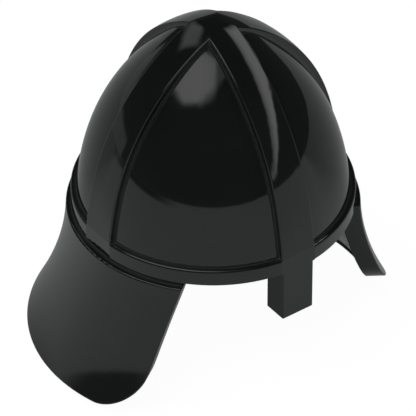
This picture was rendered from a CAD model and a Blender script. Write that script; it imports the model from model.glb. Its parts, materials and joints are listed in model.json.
import bpy
import json
import math
import numpy as np
from mathutils import Vector, Matrix


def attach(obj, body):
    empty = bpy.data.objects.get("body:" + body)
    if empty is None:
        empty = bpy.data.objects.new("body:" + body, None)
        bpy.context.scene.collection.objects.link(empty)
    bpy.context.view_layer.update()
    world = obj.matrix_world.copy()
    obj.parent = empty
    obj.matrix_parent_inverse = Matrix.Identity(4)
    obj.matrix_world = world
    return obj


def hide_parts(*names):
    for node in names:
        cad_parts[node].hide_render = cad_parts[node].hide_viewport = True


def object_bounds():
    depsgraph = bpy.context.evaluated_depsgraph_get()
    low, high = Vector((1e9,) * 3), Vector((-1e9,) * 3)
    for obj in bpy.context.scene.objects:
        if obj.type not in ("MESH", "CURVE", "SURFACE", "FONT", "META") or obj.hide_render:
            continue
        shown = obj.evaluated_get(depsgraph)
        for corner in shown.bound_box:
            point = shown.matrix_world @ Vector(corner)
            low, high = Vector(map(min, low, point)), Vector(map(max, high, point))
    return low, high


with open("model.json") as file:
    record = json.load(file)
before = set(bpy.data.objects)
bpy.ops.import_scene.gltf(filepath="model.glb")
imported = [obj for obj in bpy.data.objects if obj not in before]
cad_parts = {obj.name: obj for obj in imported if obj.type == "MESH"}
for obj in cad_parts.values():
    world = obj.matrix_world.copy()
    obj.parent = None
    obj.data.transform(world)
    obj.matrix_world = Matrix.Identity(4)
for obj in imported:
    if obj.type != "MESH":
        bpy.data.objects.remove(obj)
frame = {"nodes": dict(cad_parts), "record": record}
cad_lo, cad_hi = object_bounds()
NODES = frame["nodes"]
BODY = {}
for _b, _ns in frame["record"]["behaviour"]["bodies"].items():
    for _n in _ns:
        BODY[_n] = _b
SLOT = {s["node"]: s["material_slot"] for s in frame["record"]["subparts"]}
scene = bpy.context.scene


# ---------------------------------------------------------------------------
# node helpers
# ---------------------------------------------------------------------------
class Tree:
    """A material's node tree with short helpers. Coordinates are the row frame, in metres."""

    def __init__(self, name):
        self.m = bpy.data.materials.new(name)
        self.m.use_nodes = True
        self.nt = self.m.node_tree
        self.nt.nodes.clear()
        self.out = self.add("ShaderNodeOutputMaterial")
        self.p = self.add("ShaderNodeBsdfPrincipled")
        self.link(self.p.outputs[0], self.out.inputs[0])
        self.co = self.add("ShaderNodeTexCoord").outputs["Object"]

    def add(self, kind):
        return self.nt.nodes.new(kind)

    def link(self, a, b):
        self.nt.links.new(a, b)

    def put(self, sock, v):
        if hasattr(v, "is_output") or hasattr(v, "links"):
            self.link(v, sock)
        else:
            sock.default_value = v

    def math(self, op, a, b=None, c=None, clamp=False):
        n = self.add("ShaderNodeMath")
        n.operation = op
        n.use_clamp = clamp
        self.put(n.inputs[0], a)
        if b is not None:
            self.put(n.inputs[1], b)
        if c is not None:
            self.put(n.inputs[2], c)
        return n.outputs[0]

    def vmath(self, op, a, b=None):
        n = self.add("ShaderNodeVectorMath")
        n.operation = op
        self.put(n.inputs[0], a)
        if b is not None:
            self.put(n.inputs[1], b)
        return n.outputs["Value"] if op in ("DOT_PRODUCT", "LENGTH") else n.outputs[0]

    def noise(self, scale, detail=3.0, rough=0.55, vec=None, dist=0.0):
        n = self.add("ShaderNodeTexNoise")
        n.inputs["Scale"].default_value = scale
        n.inputs["Detail"].default_value = detail
        n.inputs["Roughness"].default_value = rough
        n.inputs["Distortion"].default_value = dist
        self.link(vec if vec is not None else self.co, n.inputs["Vector"])
        return n.outputs[0]

    def voronoi(self, scale, feature="F1", vec=None, out=0):
        n = self.add("ShaderNodeTexVoronoi")
        n.feature = feature
        n.inputs["Scale"].default_value = scale
        self.link(vec if vec is not None else self.co, n.inputs["Vector"])
        return n.outputs[out]

    def stretch(self, s, vec=None, rot=(0, 0, 0)):
        n = self.add("ShaderNodeMapping")
        n.inputs["Scale"].default_value = s
        n.inputs["Rotation"].default_value = rot
        self.link(vec if vec is not None else self.co, n.inputs["Vector"])
        return n.outputs[0]

    def remap(self, v, a, b, c, d, smooth=False):
        n = self.add("ShaderNodeMapRange")
        n.interpolation_type = "SMOOTHSTEP" if smooth else "LINEAR"
        self.put(n.inputs["Value"], v)
        for k, x in zip(("From Min", "From Max", "To Min", "To Max"), (a, b, c, d)):
            self.put(n.inputs[k], x)
        return n.outputs["Result"]

    def mix(self, f, a, b, kind="RGBA"):
        n = self.add("ShaderNodeMix")
        n.data_type = kind
        self.put(n.inputs[0], f)
        ins = (6, 7, 2) if kind == "RGBA" else (2, 3, 0)
        for i, v in ((ins[0], a), (ins[1], b)):
            if isinstance(v, tuple) and kind == "RGBA" and len(v) == 3:
                v = v + (1.0,)
            self.put(n.inputs[i], v)
        return n.outputs[ins[2]]

    def bump(self, height, distance, strength=1.0, normal=None):
        n = self.add("ShaderNodeBump")
        n.inputs["Strength"].default_value = strength
        n.inputs["Distance"].default_value = distance
        self.link(height, n.inputs["Height"])
        if normal is not None:
            self.link(normal, n.inputs["Normal"])
        return n.outputs[0]

    def edge(self, radius, lo=0.03, hi=0.25):
        """1 on edges sharper than the given radius."""
        b = self.add("ShaderNodeBevel")
        b.samples = 4
        b.inputs["Radius"].default_value = radius
        g = self.add("ShaderNodeNewGeometry").outputs["Normal"]
        d = self.vmath("DOT_PRODUCT", b.outputs[0], g)
        return self.remap(self.math("SUBTRACT", 1.0, d), lo, hi, 0.0, 1.0, True)

    def uv(self):
        a = self.add("ShaderNodeAttribute")
        a.attribute_name = "wuv"
        s = self.add("ShaderNodeSeparateXYZ")
        self.link(a.outputs["Vector"], s.inputs[0])
        return s.outputs[0], s.outputs[1], a.outputs["Vector"]

    def set(self, **kw):
        names = {"color": "Base Color", "rough": "Roughness", "metal": "Metallic", "normal": "Normal",
                 "ior": "IOR", "coat": "Coat Weight", "coat_rough": "Coat Roughness", "sheen": "Sheen Weight",
                 "sheen_rough": "Sheen Roughness", "sheen_tint": "Sheen Tint", "spec": "Specular IOR Level",
                 "sub": "Subsurface Weight", "aniso": "Anisotropic", "coat_normal": "Coat Normal"}
        for k, v in kw.items():
            if isinstance(v, tuple) and len(v) == 3:
                v = v + (1.0,)
            self.put(self.p.inputs[names[k]], v)
        return self


def gloss_black(name, base, rough, peel, smudge, grain=0.0, wear=0.8):
    """High-gloss moulded thermoplastic: faint flow variation, orange peel, wipe marks, hairline scratches, polished-off edges."""
    t = Tree(name)
    flow = t.noise(14.0, 4.0, 0.5)
    speck = t.noise(900.0, 2.0, 0.6)
    col = t.mix(t.remap(flow, 0.3, 0.7, 0.0, 1.0), tuple(c * 0.86 for c in base), tuple(c * 1.14 for c in base))
    col = t.mix(t.remap(speck, 0.72, 0.86, 0.0, 0.35), col, tuple(c * 1.8 for c in base))
    e = t.edge(0.0014, 0.02, 0.2)
    broken = t.remap(t.noise(160.0, 5.0, 0.7), 0.42, 0.66, 0.0, 1.0, True)
    worn = t.math("MULTIPLY", t.math("MULTIPLY", e, broken), wear)
    col = t.mix(worn, col, tuple(min(1.0, c * 3.2 + 0.012) for c in base))
    ao = t.add("ShaderNodeAmbientOcclusion")
    ao.samples = 6
    ao.inputs["Distance"].default_value = 0.006
    col = t.mix(t.remap(ao.outputs["AO"], 0.2, 0.8, 1.0, 0.0), col, (0.12, 0.124, 0.121))
    wipe = t.noise(1.0, 4.0, 0.6, t.stretch((26.0, 26.0, 7.0), rot=(0.4, 0.2, 0.3)))
    fine = t.noise(1.0, 2.0, 0.5, t.stretch((1400.0, 90.0, 90.0), rot=(0.3, 0.9, 0.5)))
    hair = t.remap(fine, 0.70, 0.76, 0.0, 1.0)
    r = t.math("ADD", rough, t.math("MULTIPLY", t.remap(wipe, 0.35, 0.75, 0.0, 1.0), smudge))
    r = t.math("ADD", r, t.math("MULTIPLY", hair, 0.035))
    r = t.math("ADD", r, t.math("MULTIPLY", worn, 0.25), clamp=True)
    h = t.math("MULTIPLY", t.noise(330.0, 1.5, 0.4), peel)
    h = t.math("ADD", h, t.math("MULTIPLY", hair, -0.02))
    if grain:
        h = t.math("ADD", h, t.math("MULTIPLY", t.noise(2600.0, 2.0, 0.6), grain))
    n = t.bump(h, 0.00002, 1.0)
    t.set(color=col, rough=r, ior=1.5, normal=n)
    return t.m


def moulded(name, base, rough=0.45, grain=0.6, pitch=1500.0):
    """Spark-textured nylon with faint flow lines and rubbed edges."""
    t = Tree(name)
    flow = t.noise(22.0, 4.0, 0.55, dist=0.6)
    col = t.mix(t.remap(flow, 0.3, 0.7, 0.0, 1.0), tuple(c * 0.8 for c in base), tuple(c * 1.25 for c in base))
    e = t.edge(0.0009, 0.03, 0.3)
    worn = t.math("MULTIPLY", e, t.remap(t.noise(240.0, 4.0, 0.65), 0.4, 0.65, 0.0, 0.55, True))
    col = t.mix(worn, col, tuple(min(1.0, c * 2.6 + 0.02) for c in base))
    g = t.noise(pitch, 3.0, 0.6)
    r = t.math("ADD", rough, t.remap(g, 0.3, 0.7, -0.06, 0.08))
    r = t.math("SUBTRACT", r, t.math("MULTIPLY", worn, 0.12), clamp=True)
    h = t.math("ADD", t.math("MULTIPLY", g, grain), t.math("MULTIPLY", t.noise(90.0, 2.0), 0.6))
    t.set(color=col, rough=r, ior=1.5, normal=t.bump(h, 0.00006, 1.0))
    return t.m


def steel(name, base=(0.56, 0.57, 0.58), rough=0.28):
    t = Tree(name)
    brush = t.noise(1.0, 3.0, 0.6, t.stretch((300.0, 300.0, 4200.0), rot=(0.5, 0.3, 0.0)))
    blot = t.noise(420.0, 3.0, 0.6)
    col = t.mix(t.remap(blot, 0.3, 0.75, 0.0, 1.0), base, tuple(c * 0.72 for c in base))
    r = t.math("ADD", rough, t.remap(brush, 0.3, 0.7, -0.08, 0.12), clamp=True)
    t.set(color=col, metal=1.0, rough=r, normal=t.bump(brush, 0.00002, 0.8))
    return t.m


def bead_foam(name, base, bead=420.0, dark=0.6):
    """Moulded bead foam: polygon beads with dark joints, pinholes and a skin sheen."""
    t = Tree(name)
    cell = t.voronoi(bead, "DISTANCE_TO_EDGE")
    tone = t.add("ShaderNodeTexVoronoi")
    tone.inputs["Scale"].default_value = bead
    t.link(t.co, tone.inputs["Vector"])
    grey = t.add("ShaderNodeSeparateColor")
    t.link(tone.outputs["Color"], grey.inputs[0])
    joint = t.remap(cell, 0.0, 0.10, 1.0, 0.0, True)
    col = t.mix(grey.outputs[0], tuple(c * 0.85 for c in base), tuple(c * 1.2 for c in base))
    col = t.mix(t.math("MULTIPLY", joint, 0.75), col, tuple(c * dark for c in base))
    rub = t.noise(20.0, 4.0, 0.6)
    col = t.mix(t.remap(rub, 0.55, 0.75, 0.0, 0.4), col, tuple(min(1.0, c * 1.5) for c in base))
    h = t.math("ADD", t.remap(cell, 0.0, 0.22, 0.0, 1.0, True), t.math("MULTIPLY", t.noise(2400.0, 2.0), 0.25))
    t.set(color=col, rough=t.remap(rub, 0.3, 0.7, 0.62, 0.8), ior=1.45, normal=t.bump(h, 0.00022, 0.8))
    return t.m


def cloth_mat(name, base, pitch, tall=0.00028, sheen=0.35, knit=False):
    """Woven or knitted cover. The weave runs in the piece's own surface coordinates, in metres."""
    t = Tree(name)
    u, v, _ = t.uv()
    k = math.pi / pitch
    if knit:
        zig = t.math("MULTIPLY", t.math("ABSOLUTE", t.math("SINE", t.math("MULTIPLY", v, k))), pitch * 0.7)
        a = t.math("ABSOLUTE", t.math("SINE", t.math("MULTIPLY", t.math("ADD", u, zig), k)))
        b = t.math("ABSOLUTE", t.math("SINE", t.math("MULTIPLY", v, k)))
        h = t.math("MULTIPLY", t.math("POWER", a, 0.6), t.math("ADD", 0.45, t.math("MULTIPLY", b, 0.55)))
    else:
        su, sv = t.math("SINE", t.math("MULTIPLY", u, k)), t.math("SINE", t.math("MULTIPLY", v, k))
        au, av = t.math("ABSOLUTE", su), t.math("ABSOLUTE", sv)
        over = t.math("GREATER_THAN", t.math("MULTIPLY", su, sv), 0.0)
        h = t.math("ADD", t.math("MULTIPLY", over, t.math("POWER", au, 0.5)),
                   t.math("MULTIPLY", t.math("SUBTRACT", 1.0, over), t.math("POWER", av, 0.5)))
    lint = t.noise(3200.0, 3.0, 0.7)
    shade = t.noise(34.0, 4.0, 0.6)
    col = t.mix(t.remap(h, 0.1, 0.9, 0.0, 1.0), tuple(c * 0.45 for c in base), tuple(c * 1.25 for c in base))
    col = t.mix(t.remap(shade, 0.35, 0.75, 0.0, 0.4), col, tuple(min(1.0, c * 1.9) for c in base))
    hh = t.math("ADD", h, t.math("MULTIPLY", lint, 0.35))
    t.set(color=col, rough=t.remap(lint, 0.3, 0.7, 0.78, 0.95), sheen=sheen, sheen_rough=0.45,
          ior=1.4, normal=t.bump(hh, tall, 0.9))
    return t.m


def webbing_mat(name, base, width, pitch=0.0015):
    """Herringbone polyester webbing: twill ribs that turn at the centre line, tighter selvedges, fuzz and scuffing."""
    t = Tree(name)
    u, v, _ = t.uv()
    fold = t.math("PINGPONG", t.math("ADD", u, width), width / 4)
    ph = t.math("MULTIPLY", t.math("ADD", t.math("MULTIPLY", fold, 1.0), v), math.pi / pitch)
    rib = t.math("POWER", t.math("ABSOLUTE", t.math("SINE", ph)), 0.6)
    warp = t.math("ABSOLUTE", t.math("SINE", t.math("MULTIPLY", u, math.pi / (pitch * 0.55))))
    edge = t.remap(t.math("ABSOLUTE", u), width * 0.5 - 0.0016, width * 0.5 - 0.0009, 0.0, 1.0, True)
    pick = t.math("ABSOLUTE", t.math("SINE", t.math("MULTIPLY", v, math.pi / (pitch * 0.6))))
    h = t.math("ADD", t.math("MULTIPLY", rib, 0.75), t.math("MULTIPLY", warp, 0.25))
    h = t.mix(edge, h, pick, "FLOAT")
    fuzz = t.noise(3800.0, 3.0, 0.7)
    rub = t.noise(70.0, 4.0, 0.65)
    col = t.mix(t.remap(h, 0.1, 0.95, 0.0, 1.0), tuple(c * 0.4 for c in base), tuple(c * 1.35 for c in base))
    col = t.mix(t.remap(rub, 0.5, 0.8, 0.0, 0.45), col, tuple(min(1.0, c * 2.4) for c in base))
    hh = t.math("ADD", h, t.math("MULTIPLY", fuzz, 0.3))
    t.set(color=col, rough=t.remap(fuzz, 0.3, 0.7, 0.62, 0.85), sheen=0.3, sheen_rough=0.4, ior=1.45,
          normal=t.bump(hh, 0.00025, 0.9))
    return t.m


def leather_mat(name, base, holes=True):
    """Perforated chrome-tanned leather: pebble grain, creases, darker pores and sweat-polished patches."""
    t = Tree(name)
    u, v, vec = t.uv()
    grain = t.voronoi(900.0, "DISTANCE_TO_EDGE")
    big = t.noise(160.0, 5.0, 0.6, dist=0.5)
    tone = t.noise(24.0, 5.0, 0.6)
    col = t.mix(t.remap(tone, 0.3, 0.7, 0.0, 1.0), tuple(c * 0.7 for c in base), tuple(min(1.0, c * 1.25) for c in base))
    col = t.mix(t.remap(grain, 0.0, 0.12, 0.5, 0.0, True), col, tuple(c * 0.4 for c in base))
    h = t.math("ADD", t.remap(grain, 0.0, 0.2, 0.0, 0.8, True), t.math("MULTIPLY", big, 0.5))
    r = t.remap(tone, 0.35, 0.7, 0.42, 0.62)
    if holes:
        s = 0.0042
        row = t.math("FLOOR", t.math("DIVIDE", v, s))
        shift = t.math("MULTIPLY", t.math("MODULO", row, 2.0), s * 0.5)
        cu = t.math("SUBTRACT", t.math("FRACT", t.math("DIVIDE", t.math("ADD", u, shift), s)), 0.5)
        cv = t.math("SUBTRACT", t.math("FRACT", t.math("DIVIDE", v, s)), 0.5)
        d = t.math("SQRT", t.math("ADD", t.math("MULTIPLY", cu, cu), t.math("MULTIPLY", cv, cv)))
        inside = t.remap(t.math("ABSOLUTE", v), 0.0092, 0.0096, 1.0, 0.0)
        dot = t.math("MULTIPLY", t.remap(d, 0.13, 0.19, 1.0, 0.0, True), inside)
        col = t.mix(dot, col, (0.006, 0.004, 0.003))
        h = t.math("SUBTRACT", h, t.math("MULTIPLY", dot, 2.0))
        r = t.math("ADD", r, t.math("MULTIPLY", dot, 0.3), clamp=True)
    t.set(color=col, rough=r, ior=1.5, sheen=0.05, normal=t.bump(h, 0.00012, 0.9))
    return t.m


def thread_mat(name, base):
    t = Tree(name)
    tw = t.noise(5000.0, 2.0)
    t.set(color=t.mix(tw, tuple(c * 0.7 for c in base), tuple(min(1, c * 1.3) for c in base)), rough=0.7, sheen=0.2,
          normal=t.bump(tw, 0.0001, 0.8))
    return t.m


# ---------------------------------------------------------------------------
# materials
# ---------------------------------------------------------------------------
MAT = {
    "gloss_black_moulding": gloss_black("gloss_black_moulding", (0.0120, 0.0138, 0.0132), 0.045, 0.10, 0.035),
    "guard_black_moulding": gloss_black("guard_black_moulding", (0.0122, 0.0140, 0.0134), 0.065, 0.12, 0.035, grain=0.04),
    "shell_composite": moulded("shell_composite", (0.10, 0.098, 0.088), 0.5, 0.8, 700.0),
    "black_nylon": moulded("black_nylon", (0.034, 0.034, 0.036), 0.42, 0.5),
    "cover_nylon": moulded("cover_nylon", (0.060, 0.060, 0.064), 0.5, 1.0, 1100.0),
    "acetal": moulded("acetal", (0.040, 0.040, 0.043), 0.30, 0.15, 2200.0),
    "button_grey": moulded("button_grey", (0.10, 0.10, 0.105), 0.38, 0.3, 1800.0),
    "steel": steel("steel"),
    "liner_foam": bead_foam("liner_foam", (0.17, 0.172, 0.18)),
    "guard_foam": cloth_mat("guard_foam", (0.075, 0.076, 0.080), 0.0011, 0.0003),
    "pad_fabric": cloth_mat("pad_fabric", (0.125, 0.127, 0.135), 0.0009, 0.0003, knit=True),
    "webbing": webbing_mat("webbing", (0.060, 0.060, 0.064), 0.020),
    "webbing_chin": webbing_mat("webbing_chin", (0.055, 0.055, 0.059), 0.019),
    "sweatband_leather": leather_mat("sweatband_leather", (0.24, 0.145, 0.082)),
    "thread": thread_mat("thread", (0.24, 0.24, 0.25)),
    "thread_tan": thread_mat("thread_tan", (0.42, 0.33, 0.22)),
}


def mat_for(slot):
    if slot == "button_red":
        slot = "button_grey"
    return MAT[slot]


# ---------------------------------------------------------------------------
# mesh helpers
# ---------------------------------------------------------------------------
def set_material(o, m):
    o.data.materials.clear()
    o.data.materials.append(m)


def make_object(name, verts, faces, mat, body, smooth=True, wuv=None):
    me = bpy.data.meshes.new(name)
    me.from_pydata([tuple(v) for v in verts], [], [tuple(f) for f in faces])
    me.update()
    if smooth:
        me.polygons.foreach_set("use_smooth", [True] * len(me.polygons))
    if wuv is not None:
        a = me.attributes.new("wuv", "FLOAT_VECTOR", "POINT")
        w = np.zeros((len(verts), 3), np.float32)
        w[:, :2] = wuv
        a.data.foreach_set("vector", w.ravel())
    o = bpy.data.objects.new(name, me)
    scene.collection.objects.link(o)
    set_material(o, mat)
    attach(o, body)
    return o


def coords(o):
    co = np.zeros(len(o.data.vertices) * 3)
    o.data.vertices.foreach_get("co", co)
    return co.reshape(-1, 3)


def set_coords(o, co):
    o.data.vertices.foreach_set("co", np.asarray(co, np.float32).ravel())
    o.data.update()


def set_wuv(o, u, v):
    a = o.data.attributes.get("wuv") or o.data.attributes.new("wuv", "FLOAT_VECTOR", "POINT")
    w = np.zeros((len(o.data.vertices), 3), np.float32)
    w[:, 0], w[:, 1] = u, v
    a.data.foreach_set("vector", w.ravel())


def apply_modifiers(o):
    dg = bpy.context.evaluated_depsgraph_get()
    me = bpy.data.meshes.new_from_object(o.evaluated_get(dg), preserve_all_data_layers=True, depsgraph=dg)
    o.modifiers.clear()
    old = o.data
    o.data = me
    bpy.data.meshes.remove(old)
    return o


def copy_node(node, name):
    """A welded copy of a CAD node's mesh as a new object, without custom normals."""
    me = bpy.data.meshes.new(name)
    src = NODES[node].data
    co = np.zeros(len(src.vertices) * 3)
    src.vertices.foreach_get("co", co)
    co = co.reshape(-1, 3)
    key = np.round(co / 2e-7).astype(np.int64)
    _, first, inv = np.unique(key, axis=0, return_index=True, return_inverse=True)
    inv = inv.ravel()
    faces = []
    for p in src.polygons:
        f = [int(inv[i]) for i in p.vertices]
        if len(set(f)) == len(f):
            faces.append(f)
    me.from_pydata([tuple(co[i]) for i in first], [], faces)
    me.update()
    o = bpy.data.objects.new(name, me)
    scene.collection.objects.link(o)
    return o


def sweep(name, path, side, out, profile, mat, body, cap=True):
    """Sweeps a closed profile [(across, outward)] along a path. wuv holds (across, along)."""
    path, side, out = np.asarray(path, float), np.asarray(side, float), np.asarray(out, float)
    n, m = len(path), len(profile)
    s = np.concatenate([[0.0], np.cumsum(np.linalg.norm(np.diff(path, axis=0), axis=1))])
    verts, uv = [], []
    for i in range(n):
        for a, h in profile:
            verts.append(path[i] + side[i] * a + out[i] * h)
            uv.append((a, s[i]))
    faces = []
    for i in range(n - 1):
        for j in range(m):
            k = (j + 1) % m
            faces.append((i * m + j, i * m + k, (i + 1) * m + k, (i + 1) * m + j))
    if cap:
        faces.append(tuple(range(m - 1, -1, -1)))
        faces.append(tuple((n - 1) * m + j for j in range(m)))
    return make_object(name, verts, faces, mat, body, True, np.array(uv))


def web_profile(width, thick, n=14):
    """Flat webbing section with a rounded, slightly thicker selvedge."""
    w, t = width / 2, thick / 2
    top = []
    for i in range(n + 1):
        a = -w + 2 * w * i / n
        e = 1 - abs(a) / w
        lift = t * (0.86 + 0.14 * math.exp(-((e - 0.08) / 0.05) ** 2)) if e > 0.02 else t * 0.35
        top.append((a, lift))
    return top + [(a, -h) for a, h in reversed(top)]


def capsule_mesh(points, dirs, normals, length, rad, height):
    """Many short thread stitches as one mesh: each a small lens lying on the surface."""
    verts, faces = [], []
    rings = [(-0.5, 0.0), (-0.38, 0.75), (0.0, 1.0), (0.38, 0.75), (0.5, 0.0)]
    seg = 6
    for p, d, n in zip(points, dirs, normals):
        p, d, n = np.asarray(p, float), np.asarray(d, float), np.asarray(n, float)
        d = d / np.linalg.norm(d)
        n = n / np.linalg.norm(n)
        b = np.cross(d, n)
        b0 = len(verts)
        verts.append(p - d * length * 0.5 - n * height * 0.6)
        for t, r in rings[1:4]:
            for k in range(seg):
                q = 2 * math.pi * k / seg
                verts.append(p + d * t * length + b * (math.cos(q) * rad * r) + n * (math.sin(q) * height * r))
        verts.append(p + d * length * 0.5 - n * height * 0.6)
        last = len(verts) - 1
        for k in range(seg):
            k2 = (k + 1) % seg
            faces.append((b0, b0 + 1 + k2, b0 + 1 + k))
            for r in range(2):
                o0, o1 = b0 + 1 + r * seg, b0 + 1 + (r + 1) * seg
                faces.append((o0 + k, o0 + k2, o1 + k2, o1 + k))
            faces.append((b0 + 1 + 2 * seg + k, b0 + 1 + 2 * seg + k2, last))
    return verts, faces


def stitch_line(pts, normals, pitch=0.0032, length=0.0024, rad=0.00028, lift=0.0):
    """Places stitches evenly along a polyline."""
    pts, normals = np.asarray(pts, float), np.asarray(normals, float)
    seg = np.linalg.norm(np.diff(pts, axis=0), axis=1)
    s = np.concatenate([[0], np.cumsum(seg)])
    out_p, out_d, out_n = [], [], []
    k = int(s[-1] / pitch)
    for i in range(k):
        x = (i + 0.5) * s[-1] / k
        p = np.array([np.interp(x, s, pts[:, c]) for c in range(3)])
        q = np.array([np.interp(min(x + 1e-4, s[-1]), s, pts[:, c]) for c in range(3)])
        r = np.array([np.interp(max(x - 1e-4, 0), s, pts[:, c]) for c in range(3)])
        n = np.array([np.interp(x, s, normals[:, c]) for c in range(3)])
        out_p.append(p + n / np.linalg.norm(n) * lift)
        out_d.append(q - r)
        out_n.append(n)
    return out_p, out_d, out_n


# ---------------------------------------------------------------------------
# soft goods
# ---------------------------------------------------------------------------
def remeshed(node, name, voxel, inset, smooth_steps=4):
    """A voxel-remeshed copy of a CAD solid, shrunk by inset along its normals and softened."""
    o = copy_node(node, name)
    m = o.modifiers.new("v", "REMESH")
    m.mode = "VOXEL"
    m.voxel_size = voxel
    apply_modifiers(o)
    s = o.modifiers.new("s", "SMOOTH")
    s.iterations = smooth_steps
    s.factor = 0.5
    apply_modifiers(o)
    n = np.zeros(len(o.data.vertices) * 3)
    o.data.vertices.foreach_get("normal", n)
    set_coords(o, coords(o) - n.reshape(-1, 3) * inset)
    return o


def inflate(o, pressure, cap, frames=20, tension=15.0):
    """Swells a closed mesh with a cloth simulation; no point moves further than cap."""
    rest = coords(o).copy()
    c = o.modifiers.new("c", "CLOTH")
    st = c.settings
    st.quality = 5
    st.mass = 0.3
    st.tension_stiffness = st.compression_stiffness = tension
    st.bending_stiffness = 0.5
    st.use_pressure = True
    st.uniform_pressure_force = pressure
    st.effector_weights.gravity = 0.0
    c.collision_settings.use_collision = False
    c.point_cache.frame_start, c.point_cache.frame_end = 1, frames
    for f in range(1, frames + 1):
        scene.frame_set(f)
    apply_modifiers(o)
    scene.frame_set(1)
    new = coords(o)
    d = new - rest
    ln = np.linalg.norm(d, axis=1)
    k = np.where(ln > cap, cap / np.maximum(ln, 1e-9), 1.0)
    set_coords(o, rest + d * k[:, None])
    return o


def finish_soft(o, node, levels=1):
    if levels:
        m = o.modifiers.new("sub", "SUBSURF")
        m.levels = m.render_levels = levels
        apply_modifiers(o)
    o.data.polygons.foreach_set("use_smooth", [True] * len(o.data.polygons))
    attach(o, BODY[node])
    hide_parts(node)
    return o


def groove(dist, width, depth):
    """Depth profile of a stitched channel."""
    return depth * np.exp(-(dist / width) ** 2)


def vert_normals(o):
    n = np.zeros(len(o.data.vertices) * 3)
    o.data.vertices.foreach_get("normal", n)
    return n.reshape(-1, 3)


def thread_object(name, lines, mat, body, pitch=0.0032, length=0.0024, rad=0.00028, lift=0.0):
    P, D, Nn = [], [], []
    for pts, nrm in lines:
        a, b, c = stitch_line(pts, nrm, pitch, length, rad, lift)
        P += a
        D += b
        Nn += c
    v, f = capsule_mesh(P, D, Nn, length, rad, rad * 0.9)
    return make_object(name, v, f, mat, body)


# crown pad: round knitted pad over foam, sewn in two rings and eight spokes
def make_crown_pad():
    o = inflate(remeshed("crown_pad", "crown_pad_cover", 0.0028, 0.0012), 4.0, 0.0011)
    m = o.modifiers.new("sub", "SUBSURF")
    m.levels = 1
    apply_modifiers(o)
    co, n = coords(o), vert_normals(o)
    r, a = np.hypot(co[:, 0], co[:, 1]), np.arctan2(co[:, 1], co[:, 0])
    spoke = np.abs(((a + math.pi / 8) % (math.pi / 4)) - math.pi / 8) * r
    down = np.clip(-n[:, 2], 0, 1)
    g = groove(r - 0.018, 0.0016, 0.0016) + groove(r - 0.044, 0.0016, 0.0012)
    g = np.maximum(g, np.where((r > 0.018) & (r < 0.044), groove(spoke, 0.0016, 0.0014), 0))
    set_coords(o, co - n * (g * down)[:, None])
    set_material(o, MAT["pad_fabric"])
    co = coords(o)
    set_wuv(o, co[:, 0], co[:, 1])
    finish_soft(o, "crown_pad", 0)
    lines = []
    for rr in (0.018, 0.044):
        t = np.linspace(0, 2 * math.pi, 90)
        lines.append((np.stack([rr * np.cos(t), rr * np.sin(t), 0 * t], 1), rr))
    for k in range(8):
        q = k * math.pi / 4
        s = np.linspace(0.0185, 0.0435, 12)
        lines.append((np.stack([s * math.cos(q), s * math.sin(q), 0 * s], 1), None))
    placed = project_down(o, lines)
    thread_object("crown_pad_stitching", placed, MAT["thread"], BODY["crown_pad"], lift=0.00012)


def project_down(o, lines):
    """Drops polylines in plan onto the underside of a piece."""
    from mathutils.bvhtree import BVHTree
    tree = BVHTree.FromObject(o, bpy.context.evaluated_depsgraph_get())
    out = []
    for pts, _ in lines:
        p2, n2 = [], []
        for p in pts:
            hit, nr, _i, _d = tree.ray_cast(Vector((p[0], p[1], 0.02)), Vector((0, 0, 1)))
            if hit is not None:
                p2.append(hit)
                n2.append(nr if nr.z < 0 else -nr)
        if len(p2) > 2:
            out.append((np.array(p2), np.array(n2)))
    return out


def make_nape_pad():
    o = inflate(remeshed("nape_pad", "nape_pad_cover", 0.0022, 0.0010), 4.0, 0.0009)
    m = o.modifiers.new("sub", "SUBSURF")
    m.levels = 1
    apply_modifiers(o)
    co, n = coords(o), vert_normals(o)
    y = co[:, 1] - 0.020
    r, a = np.hypot(co[:, 0], y), np.arctan2(y, co[:, 0])
    s = (a - math.pi / 2) * 0.075
    inner = np.clip(-(n[:, 0] * np.cos(a) + n[:, 1] * np.sin(a)), 0, 1)
    g = np.zeros(len(co))
    for x in (-0.0105, 0.0105):
        g = np.maximum(g, groove(s - x, 0.0014, 0.0013) * (np.abs(co[:, 2] + 0.024) < 0.0155))
    g = np.maximum(g, groove(np.maximum(np.abs(s) - 0.027, 0) + np.abs(np.abs(co[:, 2] + 0.024) - 0.0150), 0.0012, 0.0009))
    set_coords(o, co - n * (g * inner)[:, None])
    set_material(o, MAT["pad_fabric"])
    co = coords(o)
    set_wuv(o, s, co[:, 2])
    finish_soft(o, "nape_pad", 0)
    from mathutils.bvhtree import BVHTree
    tree = BVHTree.FromObject(o, bpy.context.evaluated_depsgraph_get())
    lines = []
    for path in ([(-0.0105, z) for z in np.linspace(-0.0385, -0.0095, 14)],
                 [(0.0105, z) for z in np.linspace(-0.0385, -0.0095, 14)],
                 [(x, -0.0090) for x in np.linspace(-0.027, 0.027, 30)],
                 [(x, -0.0390) for x in np.linspace(-0.027, 0.027, 30)]):
        p2, n2 = [], []
        for sx, z in path:
            q = math.pi / 2 + sx / 0.075
            hit, nr, _i, _d = tree.ray_cast(Vector((0, 0.020, z)), Vector((math.cos(q), math.sin(q), 0)))
            if hit is not None:
                p2.append(hit)
                n2.append(nr)
        lines.append((np.array(p2), np.array(n2)))
    thread_object("nape_pad_stitching", lines, MAT["thread"], BODY["nape_pad"], lift=0.00012)


def make_nose_pad():
    o = inflate(remeshed("nose_pad", "nose_pad_foam", 0.0022, 0.0008), 4.0, 0.0008)
    set_material(o, MAT["pad_fabric"])
    co = coords(o)
    set_wuv(o, co[:, 0], co[:, 2])
    finish_soft(o, "nose_pad", 1)


TILT = math.radians(35.0)
CS_P = np.array([0.0, -0.005, -0.010])


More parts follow.
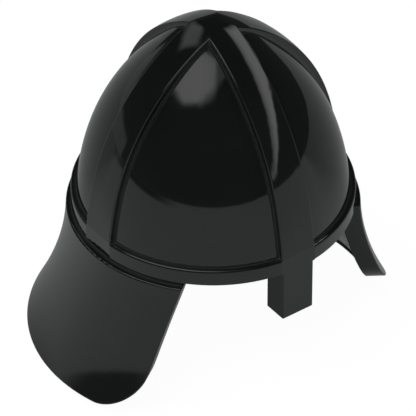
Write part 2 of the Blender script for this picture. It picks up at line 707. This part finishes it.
def strap_frame(x, v, n):
    """Chin strap plane to row frame: x across, v away from the pivot, n across the webbing. Metres."""
    x, v, n = np.broadcast_arrays(np.asarray(x, float), np.asarray(v, float), np.asarray(n, float))
    c, s = math.cos(TILT), math.sin(TILT)
    return np.stack([x, CS_P[1] + v * c + n * s, CS_P[2] - v * s + n * c], -1)


def make_chin_pad():
    o = inflate(remeshed("chin_pad", "chin_pad_cover", 0.0024, 0.0010), 4.0, 0.0009)
    m = o.modifiers.new("sub", "SUBSURF")
    m.levels = 1
    apply_modifiers(o)
    co, n = coords(o), vert_normals(o)
    rel = co - CS_P
    c, s = math.cos(TILT), math.sin(TILT)
    v = rel[:, 1] * c - rel[:, 2] * s
    w = rel[:, 1] * s + rel[:, 2] * c
    x = rel[:, 0]
    g = groove(np.abs(np.abs(w) - 0.0105), 0.0012, 0.0010)
    for x0 in (-0.018, 0.0, 0.018):
        g = np.maximum(g, groove(x - x0, 0.0013, 0.0012) * (np.abs(w) < 0.0105))
    inner = np.clip(-(n[:, 1] * c - n[:, 2] * s), 0, 1)
    set_coords(o, co - n * (g * inner)[:, None])
    set_material(o, MAT["pad_fabric"])
    set_wuv(o, x, w)
    finish_soft(o, "chin_pad", 0)


# crown straps: webbing over the head, box-stitched at the ends
def strap_path(b, n=72):
    pts, nor = [], []
    for z in np.linspace(0.0008, 0.0195, 6):
        pts.append((-0.1061, 0, z))
        nor.append((-1, 0, 0))
    for q in np.linspace(-90, 90, n):
        a = math.radians(q)
        pts.append((0.1061 * math.sin(a), 0, 0.020 + b * math.cos(a)))
        v = np.array((math.sin(a) / 0.1061, 0, math.cos(a) / b))
        nor.append(tuple(v / np.linalg.norm(v)))
    for z in np.linspace(0.0195, 0.0008, 6):
        pts.append((0.1061, 0, z))
        nor.append((1, 0, 0))
    return np.array(pts), np.array(nor)


def make_crown_straps():
    for node, b, turn in (("crown_strap_cross", 0.115, 0.0), ("crown_strap_long", 0.118, math.pi / 2)):
        pts, nor = strap_path(b)
        side = np.tile((0.0, 1.0, 0.0), (len(pts), 1))
        rot = np.array([[math.cos(turn), -math.sin(turn), 0], [math.sin(turn), math.cos(turn), 0], [0, 0, 1]])
        pts, nor, side = pts @ rot.T, nor @ rot.T, side @ rot.T
        o = sweep(node + "_web", pts, side, nor, web_profile(0.0199, 0.0014), MAT["webbing"], BODY[node])
        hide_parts(node)
        lines = []
        L = np.concatenate([[0], np.cumsum(np.linalg.norm(np.diff(pts, axis=0), axis=1))])
        total = L[-1]

        def at(s, u):
            p = np.array([np.interp(s, L, pts[:, k]) for k in range(3)])
            q = np.array([np.interp(s, L, nor[:, k]) for k in range(3)])
            q /= np.linalg.norm(q)
            w = np.array([np.interp(s, L, side[:, k]) for k in range(3)])
            return p + w * u, q
        for base, sg in ((0.016, 1), (total - 0.016, -1)):
            box_pts = [(0, -0.0075), (0, 0.0075), (0.018, 0.0075), (0.018, -0.0075), (0, -0.0075)]
            cross = [[(0, -0.0075), (0.018, 0.0075)], [(0, 0.0075), (0.018, -0.0075)]]
            for poly in [box_pts] + cross:
                for (s0, u0), (s1, u1) in zip(poly[:-1], poly[1:]):
                    for face in (1, -1):
                        pp, nn = [], []
                        for t in np.linspace(0, 1, 8):
                            p, q = at(base + sg * (s0 + (s1 - s0) * t), u0 + (u1 - u0) * t)
                            pp.append(p + q * face * 0.00064)
                            nn.append(q * face)
                        lines.append((np.array(pp), np.array(nn)))
        thread_object(node + "_stitching", lines, MAT["thread"], BODY[node], 0.0024, 0.0019, 0.00024)


def path_frames(pts2):
    """2-D path (x, v) in the chin strap plane to swept frames: outward normal in plane."""
    p = np.array(pts2, float)
    t = np.gradient(p, axis=0)
    t /= np.linalg.norm(t, axis=1)[:, None]
    nrm = np.stack([t[:, 1], -t[:, 0]], 1)
    return p, nrm


def loop2d(cx, cv, r, a0, a1, n=20):
    return [(cx + r * math.cos(math.radians(q)), cv + r * math.sin(math.radians(q))) for q in np.linspace(a0, a1, n)]


def make_chin_straps():
    # left strap: eyelet at the anchor, down the left side, round under the chin, eyelet at the buckle
    X, R = 0.092, 0.00305
    pts = loop2d(X, 0.01725, R, 115, 425, 26)
    start = [(X - 0.0012, 0.0212), (X - 0.0004, 0.024)]
    body = [(X, v) for v in np.linspace(0.026, 0.090, 30)]
    curve = [(X * math.cos(math.radians(q)), 0.092 + 0.045 * math.sin(math.radians(q))) for q in np.linspace(1, 179, 90)]
    tail = [(-X, v) for v in (0.0905, 0.089, 0.0875, 0.086)]
    main = start + body + curve + tail
    profile = web_profile(0.0188, 0.0017)

    def ribbon(name, p2, node):
        p, nrm = path_frames(p2)
        path = strap_frame(p[:, 0], p[:, 1], 0.0)
        out = strap_frame(nrm[:, 0], nrm[:, 1], 0.0) - strap_frame(0.0, 0.0, 0.0)
        side = np.tile(strap_frame(0.0, 0.0, 1.0) - strap_frame(0.0, 0.0, 0.0), (len(p), 1))
        return sweep(name, path, side, out, profile, MAT["webbing_chin"], BODY[node])
    o = ribbon("chin_strap_left_web", main, "chin_strap_left")
    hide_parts("chin_strap_left")
    ribbon("chin_strap_left_end_loop", pts, "chin_strap_left")
    ribbon("chin_strap_left_buckle_loop", loop2d(-X, 0.080, R, -65, 245, 26), "chin_strap_left")
    o = ribbon("chin_strap_right_web", [(-X + 0.0012, 0.0212), (-X + 0.0004, 0.024)] + [(-X, v) for v in np.linspace(0.026, 0.051, 12)],
               "chin_strap_right")
    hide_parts("chin_strap_right")
    ribbon("chin_strap_right_end_loop", loop2d(-X, 0.01725, R, 115, 425, 26), "chin_strap_right")
    lines = []
    for sx, v0 in ((X, 0.0245), (-X, 0.0245)):
        rect = [(v0, -0.007), (v0, 0.007), (v0 + 0.007, 0.007), (v0 + 0.007, -0.007), (v0, -0.007)]
        cross = [[rect[0], rect[2]], [rect[1], rect[3]]]
        for poly in [rect] + cross:
            for (a0, b0), (a1, b1) in zip(poly[:-1], poly[1:]):
                for face in (1, -1):
                    t = np.linspace(0, 1, 6)
                    pp = strap_frame(sx + face * 0.0008, a0 + (a1 - a0) * t, b0 + (b1 - b0) * t)
                    nn = np.tile((float(face), 0.0, 0.0), (6, 1))
                    lines.append((pp, nn))
    thread_object("chin_strap_stitching", lines, MAT["thread"], BODY["chin_strap_left"], 0.0022, 0.0018, 0.00022)


# sweatband: perforated leather folded over the front of the headband, stitched along both edges
def make_sweatband():
    n = 110
    th0 = math.asin(max(-1, min(1, (-0.0082 - 0.020) / 0.1185)))
    ang = np.linspace(-math.pi - th0, th0, n)
    mx, my = 0.082 - 0.00215, 0.1205 - 0.00215
    p = np.stack([mx * np.cos(ang), 0.020 + my * np.sin(ang), np.full(n, -0.010)], 1)
    t = np.stack([-mx * np.sin(ang), my * np.cos(ang), 0 * ang], 1)
    t /= np.linalg.norm(t, axis=1)[:, None]
    out = np.stack([t[:, 1], -t[:, 0], 0 * ang], 1)
    side = np.tile((0.0, 0.0, 1.0), (n, 1))
    w, h = 0.0145, 0.00175
    prof = []
    for u in np.linspace(-1, 1, 17):
        prof.append((u * w, h * (1 - abs(u) ** 6 * 0.75)))
    for u in np.linspace(1, -1, 17):
        puff = 1 - abs(u) ** 5 * 0.8 - 0.28 * math.exp(-((abs(u) - 0.80) / 0.07) ** 2)
        prof.append((u * w, -h * puff))
    o = sweep("sweatband_leather_band", p, side, out, prof, MAT["sweatband_leather"], BODY["sweatband"])
    a = o.data.attributes["wuv"]
    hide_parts("sweatband")
    lines = []
    for u in (-0.80, 0.80):
        inner = p - out * (h * 0.68) + side * (u * w)
        lines.append((inner, -out))
    thread_object("sweatband_stitching", lines, MAT["thread_tan"], BODY["sweatband"], 0.0030, 0.0023,
                  0.00026, 0.0001)


# impact liner: bead foam dome with ventilation channels moulded into its inner face
def make_liner():
    o = copy_node("impact_liner", "impact_liner_foam")
    co = coords(o)
    zb = co[:, 2].min()
    m = o.modifiers.new("v", "REMESH")
    m.mode = "VOXEL"
    m.voxel_size = 0.0034
    apply_modifiers(o)
    s = o.modifiers.new("s", "SMOOTH")
    s.iterations = 6
    s.factor = 0.5
    apply_modifiers(o)
    m = o.modifiers.new("sub", "SUBSURF")
    m.levels = 1
    apply_modifiers(o)
    co, n = coords(o), vert_normals(o)
    r, a = np.hypot(co[:, 0], co[:, 1]), np.arctan2(co[:, 1], co[:, 0])
    radial = n[:, 0] * np.cos(a) + n[:, 1] * np.sin(a)
    inner = ((radial < -0.25) | (n[:, 2] < -0.4)) & (co[:, 2] > zb + 0.006)
    spoke = np.abs(((a + math.pi / 8) % (math.pi / 4)) - math.pi / 8) * r
    ring_d = np.minimum(np.abs(co[:, 2] - 0.060), np.abs(co[:, 2] - 0.115))
    flat = lambda d, w, e: 1 / (1 + np.exp((d - w) / e))
    g = np.maximum(flat(spoke, 0.0058, 0.0008) * (r > 0.022), flat(ring_d, 0.0048, 0.0008) * (r > 0.05))
    edge = np.clip((co[:, 2] - zb - 0.006) / 0.006, 0, 1)
    out = -n
    set_coords(o, co + out * (g * inner * edge * 0.0045)[:, None])
    set_material(o, MAT["liner_foam"])
    finish_soft(o, "impact_liner", 0)


# neck guard liner: fabric-faced foam, quilted in upright channels with a bound lower edge
def make_guard_liner():
    o = inflate(remeshed("neck_guard_liner", "neck_guard_liner_cover", 0.0042, 0.0012), 4.0, 0.0012, frames=16)
    m = o.modifiers.new("sub", "SUBSURF")
    m.levels = 1
    apply_modifiers(o)
    co, n = coords(o), vert_normals(o)
    r, a = np.hypot(co[:, 0], co[:, 1]), np.arctan2(co[:, 1], co[:, 0])
    inner = np.clip(-(n[:, 0] * np.cos(a) + n[:, 1] * np.sin(a)), 0, 1)
    step = math.radians(15)
    off = (a - math.pi / 2)
    ch = np.abs(((off + step / 2) % step) - step / 2) * r
    zlow = -0.1452 - 0.032 * (co[:, 1] + 0.085)
    top_d = np.abs(co[:, 2] + 0.024)
    low_d = np.abs(co[:, 2] - (zlow + 0.016))
    mid = (co[:, 2] < -0.024) & (co[:, 2] > zlow + 0.016) & (co[:, 1] > -0.066)
    g = np.where(mid, groove(ch, 0.0022, 0.0032), 0)
    g = np.maximum(g, groove(top_d, 0.0020, 0.0026) * (co[:, 1] > -0.070))
    g = np.maximum(g, groove(low_d, 0.0020, 0.0026) * (co[:, 1] > -0.060))
    set_coords(o, co - n * (g * inner)[:, None])
    set_material(o, MAT["guard_foam"])
    set_wuv(o, a * 0.15, co[:, 2])
    finish_soft(o, "neck_guard_liner", 0)
    from mathutils.bvhtree import BVHTree
    tree = BVHTree.FromObject(o, bpy.context.evaluated_depsgraph_get())
    lines = []

    def cast(q, z):
        hit, nr, _i, _d = tree.ray_cast(Vector((0, 0, z)), Vector((math.cos(q), math.sin(q), 0)))
        return hit, nr
    for k in range(-7, 8):
        q = math.pi / 2 + k * step
        p2, n2 = [], []
        for z in np.linspace(-0.026, -0.128, 40):
            hit, nr = cast(q, z)
            if hit is not None and hit.y > -0.062 and hit.z > -0.1452 - 0.032 * (hit.y + 0.085) + 0.018:
                p2.append(hit)
                n2.append(nr)
        if len(p2) > 3:
            lines.append((np.array(p2), np.array(n2)))
    thread_object("neck_guard_liner_stitching", lines, MAT["thread"], BODY["neck_guard_liner"], 0.0048, 0.0036,
                  0.00042, 0.0002)


make_crown_pad()
make_nape_pad()
make_nose_pad()
make_chin_pad()
make_crown_straps()
make_chin_straps()
make_sweatband()
make_liner()
make_guard_liner()


# ---------------------------------------------------------------------------
# hard parts: finishes, and a fine edge break where the CAD edge is sharp
# ---------------------------------------------------------------------------
def edge_break(node, width, segments=2, angle=38):
    o = copy_node(node, node + "_moulded")
    o.data.polygons.foreach_set("use_smooth", [True] * len(o.data.polygons))
    b = o.modifiers.new("bevel", "BEVEL")
    b.width = width
    b.segments = segments
    b.limit_method = "ANGLE"
    b.angle_limit = math.radians(angle)
    b.harden_normals = True
    b.use_clamp_overlap = True
    b.miter_outer = "MITER_ARC"
    w = o.modifiers.new("wn", "WEIGHTED_NORMAL")
    w.keep_sharp = True
    w.weight = 60
    set_material(o, mat_for(SLOT[node]))
    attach(o, BODY[node])
    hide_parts(node)
    return o


for n, o in NODES.items():
    if not o.hide_render:
        set_material(o, mat_for(SLOT[n]))


# ---------------------------------------------------------------------------
# floor, world, lights, camera
# ---------------------------------------------------------------------------
def stage_floor():
    z = cad_lo.z - 0.0004
    n, r = 96, 30.0
    verts = [(0, 0, z)] + [(r * math.cos(2 * math.pi * k / n), r * math.sin(2 * math.pi * k / n), z) for k in range(n)]
    me = bpy.data.meshes.new("floor")
    me.from_pydata(verts, [], [(0, 1 + k, 1 + (k + 1) % n) for k in range(n)])
    o = bpy.data.objects.new("floor", me)
    scene.collection.objects.link(o)
    t = Tree("floor_pale")
    nt = t.nt
    nt.nodes.remove(t.p)
    diff = t.add("ShaderNodeBsdfDiffuse")
    diff.inputs["Color"].default_value = (0.90, 0.90, 0.90, 1)
    glow = t.add("ShaderNodeEmission")
    glow.inputs["Color"].default_value = (1, 1, 1, 1)
    lp = t.add("ShaderNodeLightPath")
    glow.inputs["Strength"].default_value = 1.10
    cam = t.add("ShaderNodeMixShader")
    cam.inputs[0].default_value = 0.12
    t.link(glow.outputs[0], cam.inputs[1])
    t.link(diff.outputs[0], cam.inputs[2])
    other = t.add("ShaderNodeEmission")
    other.inputs["Color"].default_value = FLOOR_TINT
    pos = t.add("ShaderNodeNewGeometry").outputs["Position"]
    ahead = t.add("ShaderNodeVectorMath")
    ahead.operation = "DOT_PRODUCT"
    t.link(pos, ahead.inputs[0])
    ahead.inputs[1].default_value = (0.593, 0.8055, 0.0)
    dim = t.add("ShaderNodeMapRange")
    dim.interpolation_type = "SMOOTHSTEP"
    t.link(ahead.outputs["Value"], dim.inputs["Value"])
    for k, x in zip(("From Min", "From Max", "To Min", "To Max"), (-0.06, 0.24, FLOOR_GLOW, FLOOR_FAR)):
        dim.inputs[k].default_value = x
    span = t.add("ShaderNodeVectorMath")
    span.operation = "DISTANCE"
    t.link(pos, span.inputs[0])
    span.inputs[1].default_value = (0.0, 0.02, z)
    contact = t.add("ShaderNodeMapRange")
    contact.interpolation_type = "SMOOTHSTEP"
    t.link(span.outputs["Value"], contact.inputs["Value"])
    for k, x in zip(("From Min", "From Max", "To Min", "To Max"), (0.12, 0.31, 0.4, 1.0)):
        contact.inputs[k].default_value = x
    seen = t.math("MULTIPLY", dim.outputs["Result"], contact.outputs["Result"])
    ray = t.add("ShaderNodeNewGeometry").outputs["Incoming"]
    low, side = t.add("ShaderNodeVectorMath"), t.add("ShaderNodeVectorMath")
    for node, axis in ((low, (0.0, 0.0, 1.0)), (side, (0.98481, -0.17365, 0.0))):
        node.operation = "DOT_PRODUCT"
        t.link(ray, node.inputs[0])
        node.inputs[1].default_value = axis
    far = t.remap(low.outputs["Value"], math.sin(math.radians(2.8)), math.sin(math.radians(4.4)), 0.93, 0.0, True)
    window = t.remap(side.outputs["Value"], math.cos(math.radians(34)), math.cos(math.radians(14)), 0.0, 1.0)
    seen = t.math("MULTIPLY", seen, t.math("SUBTRACT", 1.0, t.math("MULTIPLY", far, window)))
    soft = lp.outputs["Is Diffuse Ray"]
    seen = t.math("ADD", t.math("MULTIPLY", seen, t.math("SUBTRACT", 1.0, soft)), t.math("MULTIPLY", soft, 1.15))
    t.link(seen, other.inputs["Strength"])
    sel = t.add("ShaderNodeMixShader")
    t.link(lp.outputs["Is Camera Ray"], sel.inputs[0])
    t.link(other.outputs[0], sel.inputs[1])
    t.link(cam.outputs[0], sel.inputs[2])
    clear = t.add("ShaderNodeBsdfTransparent")
    back = t.add("ShaderNodeNewGeometry").outputs["Backfacing"]
    fin = t.add("ShaderNodeMixShader")
    t.link(back, fin.inputs[0])
    t.link(sel.outputs[0], fin.inputs[1])
    t.link(clear.outputs[0], fin.inputs[2])
    t.link(fin.outputs[0], t.out.inputs[0])
    set_material(o, t.m)
    return o


FLOOR_TINT = (0.965, 1.0, 0.985, 1)
FLOOR_GLOW = 0.52   # floor brightness seen in reflections near the helmet
FLOOR_FAR = 0.30    # and beyond it


def world_light():
    """White studio seen by the camera; reflections see a dark room over a lit floor, with soft boxes as shaped glows."""
    w = bpy.data.worlds.new("studio")
    scene.world = w
    w.use_nodes = True
    nt = w.node_tree
    nt.nodes.clear()

    def add(k):
        return nt.nodes.new(k)

    def link(a, b):
        nt.links.new(a, b)

    def m(op, a, b=None, clamp=False):
        n = add("ShaderNodeMath")
        n.operation = op
        n.use_clamp = clamp
        for i, v in enumerate((a, b)):
            if v is None:
                continue
            if hasattr(v, "links"):
                link(v, n.inputs[i])
            else:
                n.inputs[i].default_value = v
        return n.outputs[0]

    def ramp(v, a, b, c=0.0, d=1.0):
        n = add("ShaderNodeMapRange")
        n.interpolation_type = "SMOOTHSTEP"
        link(v, n.inputs["Value"])
        for k, x in zip(("From Min", "From Max", "To Min", "To Max"), (a, b, c, d)):
            n.inputs[k].default_value = x
        return n.outputs["Result"]

    def dot(vec, k):
        n = add("ShaderNodeVectorMath")
        n.operation = "DOT_PRODUCT"
        link(vec, n.inputs[0])
        n.inputs[1].default_value = k
        return n.outputs["Value"]

    direction = add("ShaderNodeNewGeometry").outputs["Incoming"]
    neg = add("ShaderNodeVectorMath")
    neg.operation = "SCALE"
    link(direction, neg.inputs[0])
    neg.inputs["Scale"].default_value = -1.0
    D = neg.outputs[0]

    def unit(az, el):
        a, e = math.radians(az), math.radians(el)
        return Vector((math.sin(a) * math.cos(e), -math.cos(a) * math.cos(e), math.sin(e)))

    def plane_through(p, q, inside):
        n = p.cross(q).normalized()
        return n if n.dot(inside) > 0 else -n

    def softbox(corners, soft, level):
        """Glow inside a spherical polygon; soft is the edge width in degrees, one value or one per side."""
        mid = sum((unit(*c) for c in corners), Vector()).normalized()
        out = None
        for i in range(len(corners)):
            a, b = unit(*corners[i]), unit(*corners[(i + 1) % len(corners)])
            n = plane_through(a, b, mid)
            s = math.sin(math.radians(soft[i] if isinstance(soft, (list, tuple)) else soft))
            k = ramp(dot(D, n), -s, s)
            out = k if out is None else m("MULTIPLY", out, k)
        return m("MULTIPLY", out, level) if not hasattr(level, "links") else m("MULTIPLY", out, level)

    z = dot(D, (0, 0, 1))
    room = ramp(z, 0.0, 0.9, ROOM_LOW, ROOM_HIGH)
    below = ramp(z, -0.02, 0.0, FLOOR_GLOW, 0.0)
    total = m("ADD", room, below)
    for corners, soft, level, centre, fall in BOXES:
        lv = level
        if centre is not None:
            c = dot(D, unit(*centre))
            lv = ramp(c, math.cos(math.radians(fall)), 1.0, level * 0.25, level)
        total = m("ADD", total, softbox(corners, soft, lv))
    lp = add("ShaderNodeLightPath")
    bg_cam, bg = add("ShaderNodeBackground"), add("ShaderNodeBackground")
    bg_cam.inputs["Color"].default_value = (1, 1, 1, 1)
    link(total, bg.inputs["Strength"])
    mix = add("ShaderNodeMixShader")
    link(lp.outputs["Is Camera Ray"], mix.inputs[0])
    link(bg.outputs[0], mix.inputs[1])
    link(bg_cam.outputs[0], mix.inputs[2])
    out = add("ShaderNodeOutputWorld")
    link(mix.outputs[0], out.inputs[0])


ROOM_LOW, ROOM_HIGH = 0.05, 0.03
# each: corners (azimuth, elevation) in degrees, edge softness, level, brightest direction, falloff
BOXES = [
    # large box above the wearer's right
    ([(-110, 37), (-86, 41), (-60, 46), (-32, 51), (-12, 76), (-110, 84), (-168, 62)], [1.5, 1.5, 3, 5, 7, 7, 4], 2.3, (-76, 50), 46),
    # paler wing of the same box towards the front
    ([(-34, 51), (-14, 53.5), (4, 55), (0, 72), (-30, 76)], [2, 2, 3, 5, 5], 0.6, None, None),
    # strip box from the wearer's left front, rising over the top
    ([(13, 4), (16, 4), (60, 38), (95, 48), (95, 60), (60, 52)], [1, 1, 1, 4, 6, 1], 2.5, None, None),
    # pale wall low behind the wearer's right
    ([(-178, -1), (-122, -1), (-122, 7), (-178, 7)], [1, 1.5, 1.5, 2], 0.42, None, None),
    # light behind the wearer's right
    ([(-178, 36), (-150, 42), (-150, 56), (-176, 50)], 3, 1.0, None, None),
]


def camera():
    az, el = math.radians(-36.34), math.radians(38.58)
    back = Vector((math.sin(az) * math.cos(el), -math.cos(az) * math.cos(el), math.sin(el)))
    cd = bpy.data.cameras.new("camera")
    cam = bpy.data.objects.new("camera", cd)
    scene.collection.objects.link(cam)
    cam.location = back * (33.245 * 0.14)
    cam.rotation_mode = "QUATERNION"
    cam.rotation_quaternion = (-back).to_track_quat("-Z", "Y")
    cd.sensor_width = 36.0
    cd.lens = 4738.6 / 416 * 36.0
    cd.shift_x = -(212.742 - 207.5) / 416
    cd.shift_y = -(207.5 - 194.559) / 416
    cd.clip_start, cd.clip_end = 0.05, 200.0
    scene.camera = cam


floor = stage_floor()
world_light()
camera()
scene.view_settings.view_transform = "Standard"
scene.view_settings.look = "None"
